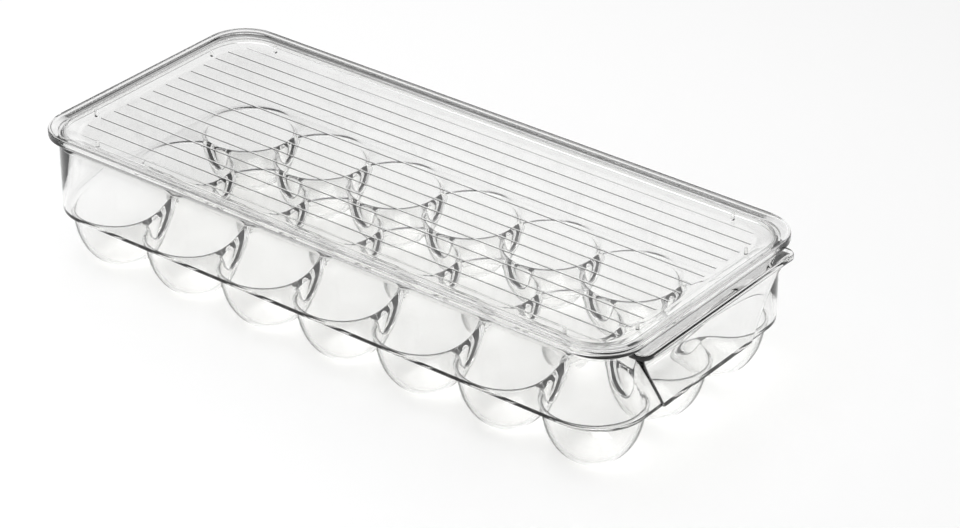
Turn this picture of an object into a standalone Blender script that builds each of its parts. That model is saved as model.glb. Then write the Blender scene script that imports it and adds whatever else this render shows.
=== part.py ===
"""Clear covered egg holder: a moulded tray with 21 cups and a lift-off lid.

The tray is one moulding. A shelf carries three rows of seven turned cups, short
webs join neighbouring cups under it, walls stand around it, and a rim at their
top carries the lid and widens into a handle lip at the front. The lid is a second moulding: a thick outer bead sits on
the tray's rim, a locating rim under it drops inside the walls, and the panel in
the middle is sunk so that another bin can stand on it.

Metres, +Z up. X is the width, Y the length with the handle at -Y. The origin is
on the floor under the middle of the whole outline, handle included.
"""
import math

import bmesh
import bpy

# Cups: three rows of seven. The mouths widen by a rounding until they nearly touch,
# and the cup itself is narrower
CUPS_ACROSS = 3
CUPS_ALONG = 7
PITCH_ACROSS = 0.0494
PITCH_ALONG = 0.0501
MOUTH_RADIUS = 0.0261
MOUTH_ROUND = 0.0028
CUP_DEPTH = 0.0304
CUP_WALL = 0.0015
FOOT_RADIUS = 0.0110
CUP_FULLNESS = 2.2
CUP_STEPS = 16
CUP_RINGS = 5
MOUTH_STEPS = 2

# Webs that join neighbouring cups under the shelf
WEB_HALF_WIDTH = 0.0075
WEB_DEPTH = 0.0110
WEB_THICKNESS = 0.0044
WEB_STEPS = 8

# Shelf and walls of the tray
SHELF_THICKNESS = 0.0016
MOUTH_TO_SIDE_WALL = 0.0001
MOUTH_TO_END_WALL = 0.0015
WALL_THICKNESS = 0.0016
WALL_HEIGHT = 0.0398
WALL_CORNER_RADIUS = 0.0245

# Rim at the top of the walls, and the handle lip at the front
RIM_REACH = 0.0011
RIM_HEIGHT = 0.0028
HANDLE_REACH = 0.0085
HANDLE_HALF_WIDTH = 0.0620
HANDLE_CORNER_RADIUS = 0.0060

# Raised apron below the handle lip: narrow at the shelf, wide under the lip
APRON_PROUD = 0.0015
APRON_BOTTOM_HALF_WIDTH = 0.0360
APRON_TOP_HALF_WIDTH = 0.0600
APRON_TOP_REACH = 0.0065
APRON_EDGE_RADIUS = 0.0010
APRON_HEIGHT_SHARES = (0, 0.35, 0.65, 0.85, 1)
APRON_WIDTH_SHARES = (0, 0.36, 0.62, 0.82, 1)
APRON_REACH_SHARES = (0, 0.02, 0.12, 0.4, 1)

# Lid: bead on the rim, locating rim inside the walls, sunken panel
LID_OVERHANG_SIDE = 0.0023
LID_OVERHANG_END = 0.0025
LID_CORNER_RADIUS = 0.0220
LID_BEAD_HEIGHT = 0.0040
LID_EDGE_ROUND = 0.0012
LID_CREST_WIDTH = 0.0015
LOCATING_WIDTH = 0.0013
LOCATING_DEPTH = 0.0020
PANEL_INSET = 0.0120
PANEL_SINK = 0.0040
PANEL_THICKNESS = 0.0016
PANEL_CORNER_RADIUS = 0.0200

# Ridges along the panel, and the stop nubs at the ends of its straight edges
RIDGE_COUNT = 14
RIDGE_PITCH = 0.00965
RIDGE_WIDTH = 0.0009
RIDGE_HEIGHT = 0.0005
RIDGE_END_INSET = 0.0035
NUB_WIDTH = 0.0024
NUB_DEPTH = 0.0030
NUB_HEIGHT = 0.0030

# Clearances between the two mouldings, and how far the shapes that are joined or
# cut run into each other
SEAT_GAP = 0.0003
LOCATING_GAP = 0.0004
OVERRUN = 0.0010
WELD = 0.00001
CORNER_STEPS = 6
EDGE_STEPS = 2
SMOOTH_ANGLE = math.radians(35)
TRAY_TINT = (0.93, 0.94, 0.94)
LID_TINT = (0.91, 0.91, 0.90)

# Places that follow from the sizes above
CUP_RADIUS = MOUTH_RADIUS - MOUTH_ROUND
CUP_BOTTOM = CUP_WALL
SHELF_TOP = CUP_BOTTOM + CUP_DEPTH
SHELF_BOTTOM = SHELF_TOP - SHELF_THICKNESS
RIM_TOP = SHELF_TOP + WALL_HEIGHT
RIM_BOTTOM = RIM_TOP - RIM_HEIGHT
INNER_HALF_X = (CUPS_ACROSS - 1) / 2 * PITCH_ACROSS + MOUTH_RADIUS + MOUTH_TO_SIDE_WALL
INNER_HALF_Y = (CUPS_ALONG - 1) / 2 * PITCH_ALONG + MOUTH_RADIUS + MOUTH_TO_END_WALL
OUTER_HALF_X = INNER_HALF_X + WALL_THICKNESS
OUTER_HALF_Y = INNER_HALF_Y + WALL_THICKNESS
LID_HALF_X = OUTER_HALF_X + LID_OVERHANG_SIDE
LID_HALF_Y = OUTER_HALF_Y + LID_OVERHANG_END
LID_BOTTOM = RIM_TOP + SEAT_GAP
LID_TOP = LID_BOTTOM + LID_BEAD_HEIGHT
PANEL_TOP = LID_TOP - PANEL_SINK
# The box of the whole object runs from the handle's edge to the lid's back edge
BODY_Y = (OUTER_HALF_Y + HANDLE_REACH - LID_HALF_Y) / 2
WALL_FRONT = BODY_Y - OUTER_HALF_Y
HANDLE_FRONT = WALL_FRONT - HANDLE_REACH


def new_collection(name, parent):
    collection = bpy.data.collections.new(name)
    parent.children.link(collection)
    return collection


def clear_plastic(name, tint):
    material = bpy.data.materials.new(name)
    material.use_nodes = True
    surface = material.node_tree.nodes["Principled BSDF"]
    surface.inputs["Base Color"].default_value = (*tint, 1)
    surface.inputs["Roughness"].default_value = 0.05
    surface.inputs["Metallic"].default_value = 0
    surface.inputs["IOR"].default_value = 1.49
    surface.inputs["Transmission Weight"].default_value = 1
    return material


def add_object(name, mesh, collection, location=(0, 0, 0)):
    item = bpy.data.objects.new(name, mesh)
    item.location = location
    collection.objects.link(item)
    return item


def rounded_outline(half_x, half_y, radius):
    """Points of a rounded rectangle around the origin, anticlockwise from above."""
    points = []
    for corner, (side_x, side_y) in enumerate(((1, 1), (-1, 1), (-1, -1), (1, -1))):
        centre_x = side_x * (half_x - radius)
        centre_y = side_y * (half_y - radius)
        for step in range(CORNER_STEPS + 1):
            angle = (corner + step / CORNER_STEPS) * math.pi / 2
            points.append((centre_x + radius * math.cos(angle),
                           centre_y + radius * math.sin(angle)))
    return points


def loft(name, sections):
    """A closed solid through rounded rectangles, in order along its skin.

    Each section is (half_x, half_y, radius, middle_y, z).
    """
    shape = bmesh.new()
    rings = []
    for half_x, half_y, radius, middle_y, z in sections:
        outline = rounded_outline(half_x, half_y, radius)
        rings.append([shape.verts.new((x, y + middle_y, z)) for x, y in outline])
    count = len(rings[0])
    for lower, upper in zip(rings, rings[1:]):
        for at in range(count):
            after = (at + 1) % count
            shape.faces.new((lower[at], lower[after], upper[after], upper[at]))
    shape.faces.new(reversed(rings[0]))
    shape.faces.new(rings[-1])
    bmesh.ops.recalc_face_normals(shape, faces=shape.faces)
    mesh = bpy.data.meshes.new(name)
    shape.to_mesh(mesh)
    shape.free()
    return mesh


def block(name, size_x, size_y, size_z):
    shape = bmesh.new()
    bmesh.ops.create_cube(shape, size=1)
    bmesh.ops.scale(shape, vec=(size_x, size_y, size_z), verts=shape.verts)
    mesh = bpy.data.meshes.new(name)
    shape.to_mesh(mesh)
    shape.free()
    return mesh


def cup_profile(name, radius, bottom, top, flat_radius, mouth=()):
    """Half outline of a cup from its axis at the top, down its side to its foot.

    The side is a superellipse, fuller than a hemisphere, cut flat at the foot. The
    points of a wider mouth come before it.
    """
    flat_share = (1 - (flat_radius / radius) ** CUP_FULLNESS) ** (1 / CUP_FULLNESS)
    lowest = math.asin(flat_share ** (CUP_FULLNESS / 2))
    side_top = SHELF_TOP - MOUTH_ROUND
    points = [(0, top), *(mouth or [(radius, top)])]
    for ring in range(CUP_RINGS):
        angle = lowest * ring / CUP_RINGS
        points.append((radius * math.cos(angle) ** (2 / CUP_FULLNESS),
                       side_top - (side_top - bottom) / flat_share
                       * math.sin(angle) ** (2 / CUP_FULLNESS)))
    points += [(flat_radius, bottom), (0, bottom)]
    mesh = bpy.data.meshes.new(name)
    mesh.from_pydata([(x, 0, z) for x, z in points],
                     [(at, at + 1) for at in range(len(points) - 1)], [])
    return mesh


def add_turned(profile, collection, place):
    """A solid of revolution about the object's own Z axis."""
    item = add_object(profile.name, profile, collection, place)
    screw = item.modifiers.new("turn", "SCREW")
    screw.axis = "Z"
    screw.steps = CUP_STEPS
    screw.render_steps = CUP_STEPS
    screw.use_merge_vertices = True
    screw.merge_threshold = WELD


def mouth_points(top):
    """The rounding of a cup's mouth, from above the shelf down to the cup's side."""
    points = [(MOUTH_RADIUS, top)]
    for step in range(MOUTH_STEPS):
        angle = step / MOUTH_STEPS * math.pi / 2
        points.append((MOUTH_RADIUS - MOUTH_ROUND * math.sin(angle),
                       SHELF_TOP - MOUTH_ROUND * (1 - math.cos(angle))))
    return points


def web(name, turned):
    """Half a flat disc under the shelf, across the gap between two cups."""
    shape = bmesh.new()
    middle = SHELF_TOP - SHELF_THICKNESS / 2
    depth = WEB_DEPTH + SHELF_THICKNESS / 2
    outline = []
    for step in range(WEB_STEPS + 1):
        angle = step / WEB_STEPS * math.pi
        outline.append((WEB_HALF_WIDTH * math.cos(angle), middle - depth * math.sin(angle)))
    ends = []
    for side in (-WEB_THICKNESS / 2, WEB_THICKNESS / 2):
        ends.append([shape.verts.new((side, across, z) if turned else (across, side, z))
                     for across, z in outline])
    count = len(outline)
    for at in range(count):
        after = (at + 1) % count
        shape.faces.new((ends[0][at], ends[0][after], ends[1][after], ends[1][at]))
    shape.faces.new(ends[0])
    shape.faces.new(reversed(ends[1]))
    bmesh.ops.recalc_face_normals(shape, faces=shape.faces)
    mesh = bpy.data.meshes.new(name)
    shape.to_mesh(mesh)
    shape.free()
    return mesh


def add_webs(collection):
    """A web between every two neighbours, across the rows and along them."""
    across = web("web_across", True)
    along = web("web_along", False)
    first_x = (CUPS_ACROSS - 1) / 2 * PITCH_ACROSS
    last_y = BODY_Y - (CUPS_ALONG - 1) / 2 * PITCH_ALONG
    for x, y, z in cup_places():
        if x < first_x - WELD:
            add_object("web_across", across, collection, (x + PITCH_ACROSS / 2, y, z))
        if y > last_y + WELD:
            add_object("web_along", along, collection, (x, y - PITCH_ALONG / 2, z))


def cup_places():
    for column in range(CUPS_ACROSS):
        for row in range(CUPS_ALONG):
            x = (column - (CUPS_ACROSS - 1) / 2) * PITCH_ACROSS
            y = BODY_Y + ((CUPS_ALONG - 1) / 2 - row) * PITCH_ALONG
            yield x, y, 0


def combine(item, operation, tools):
    """Join the tools in a collection to the item, or cut them out of it."""
    for tool in tools.objects:
        tool.hide_render = True
        tool.display_type = "WIRE"
    boolean = item.modifiers.new(tools.name, "BOOLEAN")
    boolean.operation = operation
    boolean.solver = "EXACT"
    boolean.operand_type = "COLLECTION"
    boolean.collection = tools


def shade_round(mesh):
    mesh.shade_smooth()
    mesh.set_sharp_from_angle(angle=SMOOTH_ANGLE)


def tray_body():
    """Shelf, walls and rim as one solid block, before it is hollowed."""
    wall = (OUTER_HALF_X, OUTER_HALF_Y, WALL_CORNER_RADIUS + WALL_THICKNESS)
    rim = tuple(size + RIM_REACH for size in wall)
    return loft("tray", [(*wall, BODY_Y, SHELF_BOTTOM), (*wall, BODY_Y, RIM_BOTTOM),
                         (*rim, BODY_Y, RIM_BOTTOM), (*rim, BODY_Y, RIM_TOP)])


def tray_hollow():
    """The space above the shelf."""
    inner = (INNER_HALF_X, INNER_HALF_Y, WALL_CORNER_RADIUS)
    return loft("tray_hollow", [(*inner, BODY_Y, SHELF_TOP),
                                (*inner, BODY_Y, RIM_TOP + OVERRUN)])


def handle_lip():
    """Flat lip level with the rim, from inside the front wall to the handle's edge."""
    root = WALL_FRONT + WALL_THICKNESS + HANDLE_CORNER_RADIUS
    plate = (HANDLE_HALF_WIDTH, (root - HANDLE_FRONT) / 2, HANDLE_CORNER_RADIUS,
             (root + HANDLE_FRONT) / 2)
    return loft("handle_lip", [(*plate, RIM_BOTTOM), (*plate, RIM_TOP)])


def apron():
    """Raised field on the front wall that widens and sweeps out under the lip."""
    root = WALL_FRONT + WALL_THICKNESS + OVERRUN
    sections = []
    for up, out, reach in zip(APRON_HEIGHT_SHARES, APRON_WIDTH_SHARES, APRON_REACH_SHARES):
        half_x = mixed(APRON_BOTTOM_HALF_WIDTH, APRON_TOP_HALF_WIDTH, out)
        front = WALL_FRONT - mixed(APRON_PROUD, APRON_TOP_REACH, reach)
        z = mixed(SHELF_BOTTOM, RIM_BOTTOM + OVERRUN, up)
        sections.append((half_x, (root - front) / 2, APRON_EDGE_RADIUS,
                         (root + front) / 2, z))
    return loft("apron", sections)


def mixed(start, end, share):
    return start + (end - start) * share


def make_tray(parts, tools):
    tray = add_object("tray", tray_body(), parts)
    tray.data.materials.append(clear_plastic("tray_plastic", TRAY_TINT))
    added = new_collection("tray_added", tools)
    add_object("handle_lip", handle_lip(), added)
    add_object("apron", apron(), added)
    removed = new_collection("tray_removed", tools)
    add_object("tray_hollow", tray_hollow(), removed)
    body = cup_profile("cup_body", CUP_RADIUS + CUP_WALL, 0,
                       SHELF_TOP - SHELF_THICKNESS / 2, FOOT_RADIUS)
    hollow = cup_profile("cup_hollow", CUP_RADIUS, CUP_BOTTOM, SHELF_TOP + OVERRUN,
                         FOOT_RADIUS - CUP_WALL, mouth_points(SHELF_TOP + OVERRUN))
    add_webs(added)
    for place in cup_places():
        add_turned(body, added, place)
        add_turned(hollow, removed, place)
    combine(tray, "UNION", added)
    combine(tray, "DIFFERENCE", removed)
    shade_round(tray.data)


def lid_section(inset, z, radius=None):
    """A rounded rectangle drawn in from the lid's edge by the inset, at height z."""
    if radius is None:
        radius = LID_CORNER_RADIUS - inset
    return LID_HALF_X - inset, LID_HALF_Y - inset, radius, BODY_Y, z


def lid_body():
    """Panel, sloping border, crest, bead and locating rim, as one turned-over skin."""
    locating_outer = LID_OVERHANG_SIDE + WALL_THICKNESS + LOCATING_GAP
    locating_inner = locating_outer + LOCATING_WIDTH
    outer_radius = WALL_CORNER_RADIUS - LOCATING_GAP
    inner_radius = outer_radius - LOCATING_WIDTH
    crest_inner = LID_EDGE_ROUND + LID_CREST_WIDTH
    slope = PANEL_SINK / (PANEL_INSET - crest_inner)
    slope_at_rim = LID_TOP - slope * (locating_inner - crest_inner) - PANEL_THICKNESS
    sections = [
        lid_section(PANEL_INSET, PANEL_TOP - PANEL_THICKNESS, PANEL_CORNER_RADIUS),
        lid_section(locating_inner, slope_at_rim, inner_radius),
        lid_section(locating_inner, LID_BOTTOM - LOCATING_DEPTH, inner_radius),
        lid_section(locating_outer, LID_BOTTOM - LOCATING_DEPTH, outer_radius),
        lid_section(locating_outer, LID_BOTTOM, outer_radius),
        lid_section(0, LID_BOTTOM),
    ]
    for step in range(EDGE_STEPS + 1):
        angle = step / EDGE_STEPS * math.pi / 2
        sections.append(lid_section(LID_EDGE_ROUND * (1 - math.cos(angle)),
                                    LID_TOP - LID_EDGE_ROUND * (1 - math.sin(angle))))
    sections += [
        lid_section(crest_inner, LID_TOP),
        lid_section(PANEL_INSET, PANEL_TOP, PANEL_CORNER_RADIUS),
    ]
    return loft("lid", sections)


def add_ridges(collection):
    """Low ridges along the panel, evenly spaced about the middle line."""
    length = 2 * (LID_HALF_Y - PANEL_INSET - RIDGE_END_INSET)
    bar = block("ridge", RIDGE_WIDTH, length, RIDGE_HEIGHT + PANEL_THICKNESS / 2)
    z = PANEL_TOP + RIDGE_HEIGHT / 2 - PANEL_THICKNESS / 4
    for number in range(RIDGE_COUNT):
        x = (number - (RIDGE_COUNT - 1) / 2) * RIDGE_PITCH
        add_object("ridge", bar, collection, (x, BODY_Y, z))


def add_nubs(collection):
    """Stop nubs at the foot of the border, where each straight edge ends."""
    edge_x = LID_HALF_X - PANEL_INSET
    edge_y = LID_HALF_Y - PANEL_INSET
    straight_x = edge_x - PANEL_CORNER_RADIUS
    straight_y = edge_y - PANEL_CORNER_RADIUS
    height = NUB_HEIGHT + PANEL_THICKNESS / 2
    z = PANEL_TOP - PANEL_THICKNESS / 2 + height / 2
    end_nub = block("end_nub", NUB_WIDTH, NUB_DEPTH, height)
    side_nub = block("side_nub", NUB_DEPTH, NUB_WIDTH, height)
    for side_x in (-1, 1):
        for side_y in (-1, 1):
            add_object("end_nub", end_nub, collection,
                       (side_x * straight_x, BODY_Y + side_y * edge_y, z))
            add_object("side_nub", side_nub, collection,
                       (side_x * edge_x, BODY_Y + side_y * straight_y, z))


def make_lid(parts, tools):
    lid = add_object("lid", lid_body(), parts)
    lid.data.materials.append(clear_plastic("lid_plastic", LID_TINT))
    added = new_collection("lid_added", tools)
    add_ridges(added)
    add_nubs(added)
    combine(lid, "UNION", added)
    shade_round(lid.data)


def main():
    for item in list(bpy.data.objects):
        bpy.data.objects.remove(item)
    scene = bpy.context.scene
    parts = new_collection("egg_holder", scene.collection)
    tools = new_collection("shaping_tools", scene.collection)
    make_tray(parts, tools)
    make_lid(parts, tools)


main()
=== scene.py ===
# %% [markdown]
# # A clear covered egg holder
# The real object is two clear mouldings: a tray with 21 round cups, low walls and
# a handle lip, and a lift-off lid with a sunken panel and thin ridges. This
# notebook dresses the measured frame of it. The first cell loads the frame, whose
# boxes say how large each moulding is and where it stands.

# %% Load the frame
import math

import bmesh
import bpy
import numpy as np
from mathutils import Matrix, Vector


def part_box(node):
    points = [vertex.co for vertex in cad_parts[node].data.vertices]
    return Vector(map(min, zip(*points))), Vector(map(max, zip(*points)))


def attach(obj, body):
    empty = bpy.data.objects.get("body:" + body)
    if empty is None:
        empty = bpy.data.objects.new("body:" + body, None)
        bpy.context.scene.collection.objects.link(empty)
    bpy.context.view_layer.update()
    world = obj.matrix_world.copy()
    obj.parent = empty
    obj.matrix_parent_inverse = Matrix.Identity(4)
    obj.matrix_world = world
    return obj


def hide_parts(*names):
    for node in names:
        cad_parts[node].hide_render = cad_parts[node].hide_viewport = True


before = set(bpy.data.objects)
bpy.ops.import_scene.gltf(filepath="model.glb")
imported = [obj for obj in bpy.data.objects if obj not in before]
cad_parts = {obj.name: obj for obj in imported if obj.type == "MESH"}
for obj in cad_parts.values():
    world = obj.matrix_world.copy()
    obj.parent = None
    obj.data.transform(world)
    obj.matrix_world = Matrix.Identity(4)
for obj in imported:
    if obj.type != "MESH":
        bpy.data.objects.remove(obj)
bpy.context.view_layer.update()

TRAY_LOW, TRAY_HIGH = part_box("tray")
LID_LOW, LID_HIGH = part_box("lid")
print("tray", [round(v * 1000, 1) for v in (*TRAY_LOW, *TRAY_HIGH)])
print("lid", [round(v * 1000, 1) for v in (*LID_LOW, *LID_HIGH)])

# %% [markdown]
# ## The camera
# A long lens far away keeps the long sides of the bin nearly parallel. It looks
# down by 30 degrees, past the near left corner of the lid. Its direction is made
# from an azimuth and an elevation, so it can be checked against the edges.

# %% Camera
CAMERA_AZIMUTH = -51.84
CAMERA_ELEVATION = 30.04
CAMERA_DISTANCE = 1.6214
CAMERA_TARGET = (0.0050, -0.0375, 0.0380)
LENS_MM = 123.8
SENSOR_MM = 36.0


def add_camera():
    azimuth, elevation = math.radians(CAMERA_AZIMUTH), math.radians(CAMERA_ELEVATION)
    back = Vector((math.sin(azimuth) * math.cos(elevation),
                   -math.cos(azimuth) * math.cos(elevation), math.sin(elevation)))
    camera = bpy.data.objects.new("camera", bpy.data.cameras.new("camera"))
    bpy.context.scene.collection.objects.link(camera)
    camera.data.lens = LENS_MM
    camera.data.sensor_width = SENSOR_MM
    camera.location = Vector(CAMERA_TARGET) + back * CAMERA_DISTANCE
    camera.rotation_mode = "QUATERNION"
    camera.rotation_quaternion = (-back).to_track_quat("-Z", "Y")
    bpy.context.scene.camera = camera
    return camera


camera = add_camera()
print("camera at", [round(v, 3) for v in camera.location])

# %% [markdown]
# ## Clear plastic
# The real finish is clear styrene-like plastic: smooth, a little grey where light
# runs along inside it, with faint flow waves from moulding. A Principled shader
# with full transmission bends the light, and a thin volume absorption greys the
# long paths, which is what draws the rims. For shadow rays it turns to a pale
# Transparent shader, because light does reach the table through clear plastic.

# %% Plastic
PLASTIC_IOR = 1.49
SHADOW_TINT = (0.93, 0.93, 0.925, 1)
WAVE_SCALE = 25
WAVE_HEIGHT = 0.00004
HAZE = 0.02
HAZE_SCALE = 60


def flow_waves_group():
    """Faint waves of flow in moulded plastic, as a height for a bump."""
    group = bpy.data.node_groups.new("flow_waves", "ShaderNodeTree")
    face = group.interface
    face.new_socket("Scale", in_out="INPUT", socket_type="NodeSocketFloat")
    face.new_socket("Haze", in_out="INPUT", socket_type="NodeSocketFloat")
    face.new_socket("Height", in_out="OUTPUT", socket_type="NodeSocketFloat")
    face.new_socket("Roughness", in_out="OUTPUT", socket_type="NodeSocketFloat")
    nodes, links = group.nodes, group.links
    start = nodes.new("NodeGroupInput")
    end = nodes.new("NodeGroupOutput")
    place = nodes.new("ShaderNodeTexCoord")
    waves = nodes.new("ShaderNodeTexNoise")
    waves.inputs["Detail"].default_value = 1.0
    links.new(place.outputs["Object"], waves.inputs["Vector"])
    links.new(start.outputs["Scale"], waves.inputs["Scale"])
    links.new(waves.outputs["Fac"], end.inputs["Height"])
    smears = nodes.new("ShaderNodeTexNoise")
    smears.inputs["Scale"].default_value = HAZE_SCALE
    smears.inputs["Detail"].default_value = 3.0
    links.new(place.outputs["Object"], smears.inputs["Vector"])
    haze = nodes.new("ShaderNodeMath")
    haze.operation = "MULTIPLY"
    links.new(smears.outputs["Fac"], haze.inputs[0])
    links.new(start.outputs["Haze"], haze.inputs[1])
    links.new(haze.outputs[0], end.inputs["Roughness"])
    return group


flow_waves = flow_waves_group()


def clear_plastic(name, tint, absorption):
    material = bpy.data.materials.new(name)
    material.use_nodes = True
    nodes, links = material.node_tree.nodes, material.node_tree.links
    glass = nodes["Principled BSDF"]
    output = nodes["Material Output"]
    glass.inputs["Base Color"].default_value = (*tint, 1)
    glass.inputs["Metallic"].default_value = 0
    glass.inputs["IOR"].default_value = PLASTIC_IOR
    glass.inputs["Transmission Weight"].default_value = 1
    waves = nodes.new("ShaderNodeGroup")
    waves.node_tree = flow_waves
    waves.inputs["Scale"].default_value = WAVE_SCALE
    waves.inputs["Haze"].default_value = HAZE
    bump = nodes.new("ShaderNodeBump")
    bump.inputs["Strength"].default_value = 1
    bump.inputs["Distance"].default_value = WAVE_HEIGHT
    links.new(waves.outputs["Height"], bump.inputs["Height"])
    links.new(bump.outputs["Normal"], glass.inputs["Normal"])
    links.new(waves.outputs["Roughness"], glass.inputs["Roughness"])
    see_through = nodes.new("ShaderNodeBsdfTransparent")
    see_through.inputs["Color"].default_value = SHADOW_TINT
    path = nodes.new("ShaderNodeLightPath")
    mix = nodes.new("ShaderNodeMixShader")
    links.new(path.outputs["Is Shadow Ray"], mix.inputs["Fac"])
    links.new(glass.outputs["BSDF"], mix.inputs[1])
    links.new(see_through.outputs["BSDF"], mix.inputs[2])
    links.new(mix.outputs["Shader"], output.inputs["Surface"])
    volume = nodes.new("ShaderNodeVolumeAbsorption")
    volume.inputs["Color"].default_value = (0, 0, 0, 1)
    volume.inputs["Density"].default_value = absorption
    links.new(volume.outputs["Volume"], output.inputs["Volume"])
    return material


tray_plastic = clear_plastic("tray_clear_plastic", (0.985, 0.985, 0.982), absorption=8)
lid_plastic = clear_plastic("lid_clear_plastic", (0.98, 0.98, 0.977), absorption=10)
print("plastics made")

# %% [markdown]
# ## The cups' rule
# Every point of the tray's floor follows one rule. Each cup digs a round hollow
# whose depth depends only on the distance from its middle: flat foot, full round
# side, and a mouth that widens by a large rounding until it meets its neighbours.
# The crests between two mouths stay almost level with the shelf.
#
# Underneath, neighbouring cups would leave a gap too narrow for the steel of a
# mould. It is filled with plastic, so a web with a rounded lower edge joins them.

# %% Depth of the cups
CUPS_ACROSS, CUPS_ALONG = 3, 7
PITCH_ACROSS, PITCH_ALONG = 0.0494, 0.0501
BODY_Y = (LID_LOW.y + LID_HIGH.y) / 2
SHELF_TOP = 0.0319
SHELF_BOTTOM = 0.0303
CUP_FULLNESS = 2.2
CREST_BLEND = 7.0
INNER_CUP = {"radius": 0.0234, "depth": 0.0304, "foot": 0.0096, "mouth": 0.0027,
             "web": 0, "steps": 13}
OUTER_CUP = {"radius": 0.0248, "depth": 0.0303, "foot": 0.0110, "mouth": 0.0013,
             "web": 0.0015, "steps": 11}
MOUTH_STEPS = 6


def cup_middle(column, row):
    """Place of a cup's axis, measured from the middle of the tray."""
    return ((column - (CUPS_ACROSS - 1) / 2) * PITCH_ACROSS,
            ((CUPS_ALONG - 1) / 2 - row) * PITCH_ALONG)


CUP_MIDDLES = [cup_middle(column, row)
               for column in range(CUPS_ACROSS) for row in range(CUPS_ALONG)]


def foot_share(cup):
    return (1 - (cup["foot"] / cup["radius"]) ** CUP_FULLNESS) ** (1 / CUP_FULLNESS)


def cup_depth(reach, cup):
    """Depth of one cup below the shelf at some distances from its axis."""
    radius, mouth = cup["radius"], cup["mouth"]
    share = np.clip(1 - (np.minimum(reach, radius) / radius) ** CUP_FULLNESS, 0, 1)
    side = cup["depth"] * np.minimum(share ** (1 / CUP_FULLNESS) / foot_share(cup), 1)
    across = np.clip((radius + mouth - reach) / mouth, 0, 1)
    lip = mouth * (1 - np.sqrt(1 - across ** 2))
    return np.where(reach >= radius, lip, np.maximum(side, mouth))


def floor_depth(x, y, cup):
    """Depth at points, blended over all cups."""
    total = np.zeros_like(x)
    for middle_x, middle_y in CUP_MIDDLES:
        reach = np.hypot(x - middle_x, y - BODY_Y - middle_y)
        total += cup_depth(reach, cup) ** CREST_BLEND
    return np.minimum(total ** (1 / CREST_BLEND), cup["depth"])


def web_depth(reach, length, cup):
    """Depth of the web below the shelf, on a ray that ends midway between two cups."""
    wall = length - cup["web"]
    if not cup["web"] or wall >= cup["radius"]:
        return np.zeros_like(reach)
    share = np.clip((length - reach) / cup["web"], 0, 1)
    edge = cup_depth(np.array([wall]), cup)[0] - cup["web"] * np.sqrt(1 - share ** 2)
    return np.where(reach > wall, edge, 0)


def ring_reaches(cup):
    """Distances from the axis of a cup's rings, close together where its side is steep."""
    radius, mouth, steps = cup["radius"], cup["mouth"], cup["steps"]
    lowest = math.asin(foot_share(cup) ** (CUP_FULLNESS / 2))
    angles = [lowest * (1 - k / steps) for k in range(steps)]
    angles += [lowest / steps * 0.5, lowest / steps * 0.2]
    side = [radius * math.cos(a) ** (2 / CUP_FULLNESS) for a in angles]
    turns = [k / MOUTH_STEPS * math.pi / 2 for k in range(MOUTH_STEPS + 1)]
    lip = [radius + mouth * (1 - math.cos(turn)) for turn in turns]
    return np.array([0.5 * cup["foot"]] + side + lip)


print("rings per cup", len(ring_reaches(INNER_CUP)), "inside,",
      len(ring_reaches(OUTER_CUP)), "underneath")

# %% [markdown]
# ## Laying out the floor
# A plain grid would cut the round mouths into stairs. So the floor is laid out in
# 21 rectangular cells, and each cell is meshed with rays from its cup's middle to
# the cell's edge. Neighbours share the points on their common edge, and the outer
# cells end on the rounded outline of the walls.

# %% Floor cells
RAY_STEPS = 11
RAY_BUNCHING = 1.35
SHELF_RINGS = 2
LEAST_SHELF = 0.00015
MERGE = 0.000004
NEAR = 0.00002


def cell_edge(column, row, half_x, half_y, corner):
    """Middle of a cup's cell, and points around the cell's edge from that middle.

    Each point says whether another cup is beyond it.
    """
    middle_x, middle_y = cup_middle(column, row)
    shares = [math.tan((k / RAY_STEPS) ** RAY_BUNCHING * math.pi / 4)
              for k in range(RAY_STEPS + 1)]
    points = []
    for side_x, side_y in ((1, 1), (-1, 1), (-1, -1), (1, -1)):
        open_x = 0 <= column + side_x < CUPS_ACROSS
        open_y = 0 <= row - side_y < CUPS_ALONG
        reach_x = PITCH_ACROSS / 2 if open_x else half_x - side_x * middle_x
        reach_y = PITCH_ALONG / 2 if open_y else half_y - side_y * middle_y
        quarter = [(reach_x, reach_y * s, open_x) for s in shares]
        quarter += [(reach_x * s, reach_y, open_y) for s in reversed(shares[:-1])]
        if side_x != side_y:
            quarter.reverse()
        arc_x = half_x - corner - side_x * middle_x
        arc_y = half_y - corner - side_y * middle_y
        for x, y, shared in quarter[:-1]:
            length = math.hypot(x, y)
            along = (x * arc_x + y * arc_y) / length
            inside = corner ** 2 - arc_x ** 2 - arc_y ** 2 + along ** 2
            if inside > 0:
                share = (along + math.sqrt(inside)) / length
                if share < 1 and x * share > arc_x and y * share > arc_y:
                    x, y = x * share, y * share
            points.append((side_x * x, side_y * y, shared))
    return middle_x, middle_y + BODY_Y, points


def ray_stops(length, reaches, zone):
    """Where the rings cross one ray: the cup's own rings, then steps to its end."""
    shelf = length - reaches[-1]
    if shelf > LEAST_SHELF:
        steps = [reaches[-1] + shelf * (k + 1) / SHELF_RINGS for k in range(SHELF_RINGS)]
        return np.array([*reaches, *steps])
    kept = [r for r in reaches if r < length - max(zone, LEAST_SHELF)]
    start = length - zone if zone else kept[-1]
    left = len(reaches) + SHELF_RINGS - len(kept)
    turns = [(k + 1) / left for k in range(left)]
    if zone:
        turns = [1 - math.cos(t * math.pi / 2) for t in turns]
    return np.array(kept + [start + (length - start) * t for t in turns])


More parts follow.
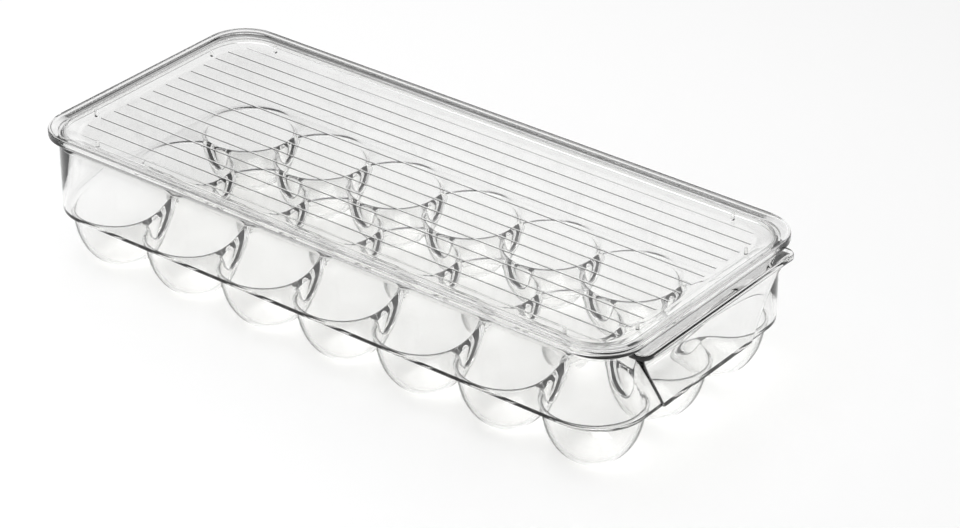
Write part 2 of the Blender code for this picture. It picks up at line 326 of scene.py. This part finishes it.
def floor_mesh(shape, cup, level, half_x, half_y, corner):
    """Adds one side of the tray's floor to a mesh."""
    reaches = ring_reaches(cup)
    rings = len(reaches) + SHELF_RINGS
    flat, webs, faces = [], [], []
    for column in range(CUPS_ACROSS):
        for row in range(CUPS_ALONG):
            middle_x, middle_y, edge = cell_edge(column, row, half_x, half_y, corner)
            centre = len(flat)
            flat.append((middle_x, middle_y))
            webs.append(0)
            for x, y, shared in edge:
                length = math.hypot(x, y)
                webbed = shared and length - cup["web"] < cup["radius"]
                stops = ray_stops(length, reaches, cup["web"] if webbed else 0)
                flat += [(middle_x + x / length * stop, middle_y + y / length * stop)
                         for stop in stops]
                webs += list(web_depth(stops, length, cup)) if shared else [0] * rings
            for ray in range(len(edge)):
                first = centre + 1 + ray * rings
                after = centre + 1 + (ray + 1) % len(edge) * rings
                faces.append((centre, first, after))
                faces += [(first + k, first + k + 1, after + k + 1, after + k)
                          for k in range(rings - 1)]
    points = np.array(flat)
    depths = np.maximum(floor_depth(points[:, 0], points[:, 1], cup), np.array(webs))
    verts = [shape.verts.new((x, y, level - d)) for (x, y), d in zip(flat, depths)]
    for face in faces:
        shape.faces.new([verts[k] for k in face])
    bmesh.ops.remove_doubles(shape, verts=verts, dist=MERGE)


def outline_normal(point, half_x, half_y, corner):
    """Outward direction at a point on a rounded rectangle."""
    x, y = point.x, point.y - BODY_Y
    arc_x, arc_y = half_x - corner, half_y - corner
    if abs(x) > arc_x and abs(y) > arc_y:
        away = Vector((x - math.copysign(arc_x, x), y - math.copysign(arc_y, y), 0))
        return away.normalized()
    if abs(x) / half_x > abs(y) / half_y:
        return Vector((math.copysign(1, x), 0, 0))
    return Vector((0, math.copysign(1, y), 0))


def on_outline(point, half_x, half_y, corner):
    """Whether a point lies on a rounded rectangle."""
    x, y = abs(point.x), abs(point.y - BODY_Y)
    past_x, past_y = x - half_x + corner, y - half_y + corner
    if past_x > 0 and past_y > 0:
        return abs(math.hypot(past_x, past_y) - corner) < NEAR
    return abs(x - half_x) < NEAR or abs(y - half_y) < NEAR


def outline_loop(verts, outline):
    """The open points on an outline, in order round the tray."""
    loop = [v for v in verts if v.is_boundary and on_outline(v.co, *outline)]
    return sorted(loop, key=lambda v: math.atan2(v.co.y - BODY_Y, v.co.x))


print("rays per cup", RAY_STEPS * 8)

# %% [markdown]
# ## Rounded sections
# Moulded edges are never sharp. A wall or a bead is drawn as a bent line in
# section, and this helper rounds each of its corners with a small arc, so that
# light draws a line along it, as it does on the real rim.

# %% Rounding a section
LONGEST_ROUNDING = 0.49


def rounded_section(corners, steps=4):
    """Corners are (across, height, rounding, extra...); each extra stays with its corner."""
    line = []
    last = len(corners) - 1
    for at, (across, height, rounding, *extra) in enumerate(corners):
        here = Vector((across, height))
        if at in (0, last) or rounding == 0:
            line.append((across, height, *extra))
            continue
        start, end = (here + side.normalized() * min(rounding, side.length * LONGEST_ROUNDING)
                      for side in (Vector(corners[at - 1][:2]) - here,
                                   Vector(corners[at + 1][:2]) - here))
        for k in range(steps + 1):
            t = k / steps
            point = start * (1 - t) ** 2 + here * 2 * t * (1 - t) + end * t ** 2
            line.append((point.x, point.y, *extra))
    return line


print("longest rounding:", LONGEST_ROUNDING, "of a side")

# %% [markdown]
# ## The tray
# The tray is one moulding, so its mesh is one closed skin: the floor seen from
# inside, up the inner wall, over the rim, down the outer wall, and the floor seen
# from below. The handle lip and the raised field under it are joined to it by an
# exact union, because glass that overlaps glass would show a false surface.

# %% Tray shell
WALL_THICKNESS = 0.0016
WALL_CORNER = 0.0245
INNER_HALF = (0.0756, 0.1779)
EDGE_ROUND = 0.0005
RIM_ROUND = 0.0006
INNER_ROUND_BEND = 0.3
OUTER_FLOOR = WALL_THICKNESS - EDGE_ROUND
RIM_TOP = 0.0717
RIM_BOTTOM = 0.0689
RIM_REACH = 0.0011


def bridge(shape, lower, upper):
    """Faces between two closed loops of equal count."""
    count = len(lower)
    for at in range(count):
        after = (at + 1) % count
        shape.faces.new((lower[at], lower[after], upper[after], upper[at]))


def raised_loops(shape, loop, outline, section):
    """Loops of new points above and outside a loop, joined by faces."""
    normals = [outline_normal(v.co, *outline) for v in loop]
    ground = [v.co.copy() for v in loop]
    current = loop
    for offset, z in section:
        fresh = [shape.verts.new((p.x + n.x * offset, p.y + n.y * offset, z))
                 for p, n in zip(ground, normals)]
        bridge(shape, current, fresh)
        current = fresh
    return current


def tray_shell():
    shape = bmesh.new()
    inner_outline = (*INNER_HALF, WALL_CORNER)
    outer_outline = tuple(size + OUTER_FLOOR for size in inner_outline)
    floor_mesh(shape, INNER_CUP, SHELF_TOP, *inner_outline)
    inside = outline_loop(shape.verts, inner_outline)
    under = bmesh.new()
    floor_mesh(under, OUTER_CUP, SHELF_BOTTOM, *outer_outline)
    spare = bpy.data.meshes.new("under")
    under.to_mesh(spare)
    under.free()
    known = set(shape.verts)
    shape.from_mesh(spare)
    bpy.data.meshes.remove(spare)
    outside = outline_loop([v for v in shape.verts if v not in known], outer_outline)
    print("loop of", len(inside), "points inside and", len(outside), "outside")
    bend = RIM_ROUND * INNER_ROUND_BEND
    inner_top = raised_loops(shape, inside, inner_outline, [
        (0, RIM_TOP - RIM_ROUND), (bend, RIM_TOP - bend), (RIM_ROUND, RIM_TOP)])
    wall = EDGE_ROUND
    rim = wall + RIM_REACH
    outer_top = raised_loops(shape, outside, outer_outline, rounded_section([
        (0, SHELF_BOTTOM, 0), (wall, SHELF_BOTTOM, EDGE_ROUND), (wall, RIM_BOTTOM, RIM_ROUND),
        (rim, RIM_BOTTOM, EDGE_ROUND), (rim, RIM_TOP, RIM_ROUND), (wall, RIM_TOP, 0)])[1:])
    bridge(shape, inner_top, outer_top)
    bmesh.ops.remove_doubles(shape, verts=shape.verts, dist=MERGE)
    bmesh.ops.recalc_face_normals(shape, faces=shape.faces)
    open_edges = sum(1 for e in shape.edges if not e.is_manifold)
    mesh = bpy.data.meshes.new("tray_shell")
    shape.to_mesh(mesh)
    shape.free()
    print("tray shell:", len(mesh.polygons), "faces,", open_edges, "open edges")
    return mesh


shell = tray_shell()

# %% [markdown]
# ## Handle lip and raised field
# At the front the rim widens into a lip to pull the bin out of a refrigerator.
# Under it a raised field on the wall sweeps outwards, narrow at the shelf and wide
# under the lip, so that fingertips find a curve. Both are lofts whose back edge
# follows the middle of the wall, so they end inside it.

# %% Handle
HANDLE_FRONT = TRAY_LOW.y
HANDLE_HALF_WIDTH = 0.0620
HANDLE_CORNER = 0.0060
LIP_INSET = 0.0040
LIP_ROUNDS = (0.0007, 0.0009)
LIP_CORNER_LOSS = 0.7
APRON_PROUD = 0.0015
APRON_REACH = 0.0065
APRON_HALF_WIDTH = (0.0360, 0.0600)
APRON_EDGE = 0.0010
APRON_BOTTOM = SHELF_BOTTOM + 0.0003
APRON_TOP = RIM_BOTTOM + 0.0011
APRON_LEAN = 0.02
APRON_SWEEP = 5.5
APRON_FLARE = 1.05
APRON_SECTIONS = 26
FRONT_STEPS = 24
ARC_STEPS = 8
SHARP_DEGREES = 40


def wall_line(x):
    """Y of the middle of the front wall at some X, where the handle's solids end."""
    arc_x = INNER_HALF[0] - WALL_CORNER
    radius = WALL_CORNER + WALL_THICKNESS / 2
    straight = BODY_Y - INNER_HALF[1] - WALL_THICKNESS / 2
    past = max(abs(x) - arc_x, 0)
    return straight + radius - math.sqrt(radius ** 2 - past ** 2)


def front_outline(half_x, front_y, corner):
    """Outline of a tongue in front of the wall, its back edge on the wall's middle."""
    points = []
    for k in range(ARC_STEPS + 1):
        angle = k / ARC_STEPS * math.pi / 2
        points.append((-half_x + corner * (1 - math.cos(angle)),
                       front_y + corner * (1 - math.sin(angle))))
    points += [(-x, y) for x, y in reversed(points)]
    back = [half_x * (1 - 2 * k / FRONT_STEPS) for k in range(FRONT_STEPS + 1)]
    return points + [(x, wall_line(x)) for x in back]


def tongue(name, sections):
    """A closed loft of front outlines, from the lowest to the highest."""
    shape = bmesh.new()
    loops = [[shape.verts.new((x, y, z)) for x, y in front_outline(half_x, front_y, corner)]
             for half_x, front_y, corner, z in sections]
    for lower, upper in zip(loops, loops[1:]):
        bridge(shape, lower, upper)
    shape.faces.new(reversed(loops[0]))
    shape.faces.new(loops[-1])
    bmesh.ops.recalc_face_normals(shape, faces=shape.faces)
    mesh = bpy.data.meshes.new(name)
    shape.to_mesh(mesh)
    shape.free()
    return mesh


def lip_mesh():
    under, over = LIP_ROUNDS
    edge = rounded_section([(LIP_INSET, RIM_BOTTOM, 0), (0, RIM_BOTTOM, under),
                            (0, RIM_TOP, over), (LIP_INSET, RIM_TOP, 0)])
    loss = HANDLE_CORNER * LIP_CORNER_LOSS
    return tongue("lip", [(HANDLE_HALF_WIDTH - inset, HANDLE_FRONT + inset,
                           HANDLE_CORNER - min(inset, loss), z) for inset, z in edge])


def apron_mesh():
    wall_front = BODY_Y - INNER_HALF[1] - WALL_THICKNESS
    low, high = APRON_HALF_WIDTH
    sections = []
    for k in range(APRON_SECTIONS + 1):
        up = k / APRON_SECTIONS
        sweep = APRON_LEAN * up + (1 - APRON_LEAN) * up ** APRON_SWEEP
        reach = APRON_PROUD + (APRON_REACH - APRON_PROUD) * sweep
        sections.append((low + (high - low) * up ** APRON_FLARE, wall_front - reach,
                         APRON_EDGE, APRON_BOTTOM + (APRON_TOP - APRON_BOTTOM) * up))
    return tongue("apron", sections)


def add_piece(name, mesh, material=None):
    piece = bpy.data.objects.new(name, mesh)
    bpy.context.scene.collection.objects.link(piece)
    if material:
        mesh.materials.clear()
        mesh.materials.append(material)
    return piece


def settled(piece):
    """Works a piece's modifiers into its mesh and removes them."""
    bpy.context.view_layer.update()
    ready = piece.evaluated_get(bpy.context.evaluated_depsgraph_get())
    mesh = bpy.data.meshes.new_from_object(ready)
    piece.modifiers.clear()
    old = piece.data
    piece.data = mesh
    bpy.data.meshes.remove(old)


def smooth_edges(piece):
    piece.data.shade_smooth()
    piece.data.set_sharp_from_angle(angle=math.radians(SHARP_DEGREES))


def united(piece, others):
    for other in others:
        join = piece.modifiers.new(other.name, "BOOLEAN")
        join.operation = "UNION"
        join.solver = "EXACT"
        join.object = other
    settled(piece)
    for other in others:
        bpy.data.objects.remove(other)


def triangles(mesh):
    return sum(len(face.vertices) - 2 for face in mesh.polygons)


tray_piece = add_piece("moulded_tray", shell, tray_plastic)
united(tray_piece, [add_piece("lip", lip_mesh()), add_piece("apron", apron_mesh())])
smooth_edges(tray_piece)
print("moulded tray:", triangles(tray_piece.data), "triangles")

# %% [markdown]
# ## The lid
# The lid's skin is one section carried round the rounded outline: a panel, a border
# that slopes up to a crest, the outer bead, and underneath a locating rim that
# drops inside the tray's walls.

# %% Lid shell
LID_CORNER = 0.0220
PANEL_INSET = 0.0120
PANEL_TOP = 0.0720
PANEL_THICKNESS = 0.0016
CREST = 0.0027
FLAT_MARGIN = 0.0030
PANEL_CORNER = 0.0200
BEAD_ROUND = 0.0006
OUTER_ROUND = 0.0013
CREST_ROUND = 0.0009
PANEL_ROUNDS = (0.0015, 0.0014)
LOCATING = (0.0043, 0.0056)
LOCATING_CORNERS = (0.0241, 0.0228)
LOCATING_ROUNDS = (0.0003, 0.0005)
LOCATING_TIP_ROUND = 0.0004
LID_ARC_STEPS = 20
LID_SECTION_STEPS = 5


def lid_section():
    """Corners of the section: inset from the edge, height, rounding, and corner radius."""
    top = LID_HIGH.z
    slope = (top - PANEL_TOP) / (PANEL_INSET - CREST)
    under = top - slope * (LOCATING[1] - CREST) - PANEL_THICKNESS
    panel_bottom = PANEL_TOP - PANEL_THICKNESS
    flat, flat_corner = PANEL_INSET + FLAT_MARGIN, PANEL_CORNER - FLAT_MARGIN
    return rounded_section([
        (flat, panel_bottom, 0, flat_corner),
        (PANEL_INSET, panel_bottom, PANEL_ROUNDS[0], PANEL_CORNER),
        (LOCATING[1], under, LOCATING_ROUNDS[1], LOCATING_CORNERS[1]),
        (LOCATING[1], LID_LOW.z, LOCATING_TIP_ROUND, LOCATING_CORNERS[1]),
        (LOCATING[0], LID_LOW.z, LOCATING_TIP_ROUND, LOCATING_CORNERS[0]),
        (LOCATING[0], PANEL_TOP, LOCATING_ROUNDS[0], LOCATING_CORNERS[0]),
        (0, PANEL_TOP, BEAD_ROUND, LID_CORNER),
        (0, top, OUTER_ROUND, LID_CORNER),
        (CREST, top, CREST_ROUND, LID_CORNER - CREST),
        (PANEL_INSET, PANEL_TOP, PANEL_ROUNDS[1], PANEL_CORNER),
        (flat, PANEL_TOP, 0, flat_corner),
    ], LID_SECTION_STEPS)


def lid_mesh():
    shape = bmesh.new()
    half_x, half_y = LID_HIGH.x, (LID_HIGH.y - LID_LOW.y) / 2
    loops = []
    for inset, z, radius in lid_section():
        loop = []
        for corner, (side_x, side_y) in enumerate(((1, 1), (-1, 1), (-1, -1), (1, -1))):
            middle_x = side_x * (half_x - inset - radius)
            middle_y = BODY_Y + side_y * (half_y - inset - radius)
            for step in range(LID_ARC_STEPS + 1):
                angle = (corner + step / LID_ARC_STEPS) * math.pi / 2
                loop.append(shape.verts.new((middle_x + radius * math.cos(angle),
                                             middle_y + radius * math.sin(angle), z)))
        loops.append(loop)
    for lower, upper in zip(loops, loops[1:]):
        bridge(shape, lower, upper)
    shape.faces.new(reversed(loops[0]))
    shape.faces.new(loops[-1])
    bmesh.ops.recalc_face_normals(shape, faces=shape.faces)
    mesh = bpy.data.meshes.new("lid_shell")
    shape.to_mesh(mesh)
    shape.free()
    return mesh


lid_piece = add_piece("moulded_lid", lid_mesh(), lid_plastic)
print("lid shell:", triangles(lid_piece.data), "triangles")

# %% [markdown]
# ## Ridges and stop nubs
# Thin ridges run along the panel at an even pitch, and two small nubs stand at each
# corner of it. They repeat, so Geometry Nodes place them: a bar is instanced on a
# row of points, a tapered nub on the corners of two rectangles, and all of them are
# made real and united with the lid, because they are one moulding with it.

# %% Ridges and nubs
RIDGES = {"Count": 14, "Pitch": 0.00965, "Width": 0.0013, "Height": 0.00022,
          "Length": 0.333}
RIDGE_SIDES = 12
NUB_RADIUS = 0.0010
NUB_TAPER = 0.8
NUB_SIDES = 16
NUB_SETBACK = 0.0475
NUB_FOOT = PANEL_TOP - 0.0006
NUB_TIP = LID_HIGH.z - 0.0002


class Tree:
    """Small helper to build a Geometry Nodes tree with named inputs."""

    def __init__(self, name):
        self.group = bpy.data.node_groups.new(name, "GeometryNodeTree")
        self.group.interface.new_socket("Geometry", in_out="INPUT",
                                        socket_type="NodeSocketGeometry")
        self.group.interface.new_socket("Geometry", in_out="OUTPUT",
                                        socket_type="NodeSocketGeometry")
        self.start = self.group.nodes.new("NodeGroupInput")
        self.end = self.group.nodes.new("NodeGroupOutput")
        self.names = {}

    def add_input(self, name, kind, value):
        socket = self.group.interface.new_socket(name, in_out="INPUT", socket_type=kind)
        self.names[name] = (socket.identifier, value)
        return self.start.outputs[name]

    def node(self, kind, settings=None, **inputs):
        node = self.group.nodes.new(kind)
        for key, value in (settings or {}).items():
            setattr(node, key, value)
        for key, value in inputs.items():
            numbered = key[1:].isdigit()
            socket = node.inputs[int(key[1:]) if numbered else key.replace("_", " ")]
            if isinstance(value, bpy.types.NodeSocket):
                self.group.links.new(value, socket)
            else:
                socket.default_value = value
        return node

    def link(self, output, target):
        self.group.links.new(output, target)

    def put_on(self, piece):
        modifier = piece.modifiers.new(self.group.name, "NODES")
        modifier.node_group = self.group
        for identifier, value in self.names.values():
            modifier[identifier] = value


def ridge_tree(material):
    tree = Tree("ridges_and_nubs")
    count, pitch, width, height, length = (
        tree.add_input(name, "NodeSocketInt" if name == "Count" else "NodeSocketFloat", value)
        for name, value in RIDGES.items())
    nub_x = tree.add_input("Nub rectangle X", "NodeSocketFloat", 2 * (LID_HIGH.x - PANEL_INSET))
    nub_y = tree.add_input("Nub rectangle Y", "NodeSocketFloat",
                           LID_HIGH.y - LID_LOW.y - 2 * PANEL_INSET)
    arc = tree.add_input("Corner", "NodeSocketFloat", NUB_SETBACK)

    # one bar: an oval section along a line, closed at its ends
    half = tree.node("ShaderNodeMath", {"operation": "MULTIPLY"}, _0=length, _1=0.5)
    less = tree.node("ShaderNodeMath", {"operation": "MULTIPLY"}, _0=length, _1=-0.5)
    head = tree.node("ShaderNodeCombineXYZ", Y=half.outputs[0])
    tail = tree.node("ShaderNodeCombineXYZ", Y=less.outputs[0])
    line = tree.node("GeometryNodeCurvePrimitiveLine", Start=tail.outputs[0], End=head.outputs[0])
    round_section = tree.node("GeometryNodeCurvePrimitiveCircle", Resolution=RIDGE_SIDES,
                              Radius=0.5)
    twice = tree.node("ShaderNodeMath", {"operation": "MULTIPLY"}, _0=height, _1=2.0)
    oval_size = tree.node("ShaderNodeCombineXYZ", X=width, Y=twice.outputs[0], Z=1.0)
    oval = tree.node("GeometryNodeTransform", Geometry=round_section.outputs["Curve"],
                     Scale=oval_size.outputs[0])
    bar = tree.node("GeometryNodeCurveToMesh", Curve=line.outputs[0],
                    Profile_Curve=oval.outputs[0], Fill_Caps=True)

    # a row of points across the panel
    gaps = tree.node("ShaderNodeMath", {"operation": "SUBTRACT"}, _0=count, _1=1.0)
    span = tree.node("ShaderNodeMath", {"operation": "MULTIPLY"}, _0=gaps.outputs[0], _1=pitch)
    first = tree.node("ShaderNodeMath", {"operation": "MULTIPLY"}, _0=span.outputs[0], _1=-0.5)
    start = tree.node("ShaderNodeCombineXYZ", X=first.outputs[0], Y=BODY_Y, Z=PANEL_TOP)
    step = tree.node("ShaderNodeCombineXYZ", X=pitch)
    row = tree.node("GeometryNodeMeshLine", Count=count, Start_Location=start.outputs[0],
                    Offset=step.outputs[0])
    bars = tree.node("GeometryNodeInstanceOnPoints", Points=row.outputs[0],
                     Instance=bar.outputs[0])

    # a tapered nub on the corners of two rectangles
    post = tree.node("GeometryNodeMeshCone", Vertices=NUB_SIDES, Side_Segments=1,
                     Radius_Top=NUB_RADIUS * NUB_TAPER, Radius_Bottom=NUB_RADIUS,
                     Depth=NUB_TIP - NUB_FOOT)
    shorter_x = tree.node("ShaderNodeMath", {"operation": "SUBTRACT"}, _0=nub_x, _1=arc)
    shorter_y = tree.node("ShaderNodeMath", {"operation": "SUBTRACT"}, _0=nub_y, _1=arc)
    joined = tree.node("GeometryNodeJoinGeometry")
    for size_x, size_y in ((shorter_x.outputs[0], nub_y), (nub_x, shorter_y.outputs[0])):
        corners = tree.node("GeometryNodeMeshGrid", Size_X=size_x, Size_Y=size_y,
                            Vertices_X=2, Vertices_Y=2)
        moved = tree.node("GeometryNodeTransform", Geometry=corners.outputs[0],
                          Translation=(0, BODY_Y, NUB_FOOT))
        nubs = tree.node("GeometryNodeInstanceOnPoints", Points=moved.outputs[0],
                         Instance=post.outputs[0])
        tree.link(nubs.outputs[0], joined.inputs[0])
    tree.link(bars.outputs[0], joined.inputs[0])
    real = tree.node("GeometryNodeRealizeInstances", Geometry=joined.outputs[0])
    union = tree.node("GeometryNodeMeshBoolean", {"operation": "UNION", "solver": "EXACT"})
    tree.link(tree.start.outputs["Geometry"], union.inputs["Mesh"])
    tree.link(real.outputs[0], union.inputs["Mesh"])
    finish = tree.node("GeometryNodeRealizeInstances", Geometry=union.outputs["Mesh"])
    painted = tree.node("GeometryNodeSetMaterial", Geometry=finish.outputs[0])
    painted.inputs["Material"].default_value = material
    tree.link(painted.outputs[0], tree.end.inputs["Geometry"])
    return tree


ridge_tree(lid_plastic).put_on(lid_piece)
settled(lid_piece)
smooth_edges(lid_piece)
print("moulded lid:", triangles(lid_piece.data), "triangles")

# %% [markdown]
# ## Riding on the frame
# Each moulding rides on its body and stands for the plain solid of the same name,
# which is hidden but still there for collision.

# %% Ride
for piece, body, finish in ((tray_piece, "tray", "tray_plastic"),
                            (lid_piece, "lid", "lid_plastic")):
    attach(piece, body)
    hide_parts(body)

# %% [markdown]
# ## Table and light
# Clear plastic shows only what is around it, so its look is set here. The table is
# pale and wide. The sky of the studio is white near the horizon, where it is seen
# through and beside the bin, and darker overhead, which draws grey lines along the
# rims. A white patch of that sky beyond the handle washes out the near half of the
# lid, and one soft lamp overhead makes the shadow.

# %% Stage
FLOOR_COLOUR = (0.96, 0.96, 0.96, 1)
FLOOR_SIZE = 8.0
FLOOR_GAP = 0.0003
LAMP_PLACE = (-0.3, 0.3, 1.5)
LAMP_SIZE = 1.2
LAMP_WATTS = 14
SKY_HEIGHTS = (0.12, 0.45)
SKY_STRENGTHS = (1.0, 0.25)
SHEEN_DIRECTION = (0.72, 0.46, 0.52)
SHEEN_COSINES = (0.978, 0.999)
FILL_STRENGTH = 0.6
BOUNCES = 32


def add_floor():
    mesh = bpy.data.meshes.new("table")
    half = FLOOR_SIZE / 2
    mesh.from_pydata([(side_x * half, side_y * half, -FLOOR_GAP)
                      for side_x, side_y in ((-1, -1), (1, -1), (1, 1), (-1, 1))],
                     [], [(0, 1, 2, 3)])
    material = bpy.data.materials.new("table_paint")
    material.use_nodes = True
    paint = material.node_tree.nodes["Principled BSDF"]
    paint.inputs["Base Color"].default_value = FLOOR_COLOUR
    paint.inputs["Roughness"].default_value = 1
    paint.inputs["Specular IOR Level"].default_value = 0
    floor = add_piece("table", mesh, material)


def add_softbox():
    data = bpy.data.lights.new("overhead_softbox", "AREA")
    data.shape = "SQUARE"
    data.size, data.energy = LAMP_SIZE, LAMP_WATTS
    lamp = bpy.data.objects.new("overhead_softbox", data)
    lamp.location = LAMP_PLACE
    lamp.rotation_mode = "QUATERNION"
    lamp.rotation_quaternion = (-Vector(LAMP_PLACE)).to_track_quat("-Z", "Y")
    bpy.context.scene.collection.objects.link(lamp)


def add_world():
    world = bpy.data.worlds.new("studio")
    world.use_nodes = True
    nodes, links = world.node_tree.nodes, world.node_tree.links
    path = nodes.new("ShaderNodeLightPath")
    direction = nodes.new("ShaderNodeTexCoord").outputs["Generated"]

    def soft_step(value, span, strengths):
        step = nodes.new("ShaderNodeMapRange")
        step.interpolation_type = "SMOOTHSTEP"
        names = ("From Min", "From Max", "To Min", "To Max")
        for name, number in zip(names, (*span, *strengths)):
            step.inputs[name].default_value = number
        links.new(value, step.inputs["Value"])
        return step.outputs["Result"]

    def larger(first, second):
        choice = nodes.new("ShaderNodeMath")
        choice.operation = "MAXIMUM"
        links.new(first, choice.inputs[0])
        links.new(second, choice.inputs[1])
        return choice.outputs[0]

    def switched(switch):
        mix = nodes.new("ShaderNodeMix")
        mix.data_type = "FLOAT"
        links.new(switch, mix.inputs["Factor"])
        return mix.inputs[2], mix.inputs[3], mix.outputs[0]

    split = nodes.new("ShaderNodeSeparateXYZ")
    links.new(direction, split.inputs[0])
    towards = nodes.new("ShaderNodeVectorMath")
    towards.operation = "DOT_PRODUCT"
    towards.inputs[1].default_value = SHEEN_DIRECTION
    links.new(direction, towards.inputs[0])
    sky = larger(soft_step(split.outputs["Z"], SKY_HEIGHTS, SKY_STRENGTHS),
                 soft_step(towards.outputs["Value"], SHEEN_COSINES, (0, 1)))
    through, straight, seen = switched(path.outputs["Is Camera Ray"])
    links.new(sky, through)
    straight.default_value = 1.0
    bent = larger(path.outputs["Is Glossy Ray"], path.outputs["Is Transmission Ray"])
    fill, looked_at, strength = switched(larger(bent, path.outputs["Is Camera Ray"]))
    fill.default_value = FILL_STRENGTH
    links.new(seen, looked_at)
    background = nodes["Background"]
    background.inputs["Color"].default_value = (1, 1, 1, 1)
    links.new(strength, background.inputs["Strength"])
    bpy.context.scene.world = world


add_floor()
add_world()
add_softbox()
scene = bpy.context.scene
scene.view_settings.view_transform = "Standard"
scene.cycles.max_bounces = BOUNCES
scene.cycles.transmission_bounces = BOUNCES
scene.cycles.transparent_max_bounces = BOUNCES
print("stage set")
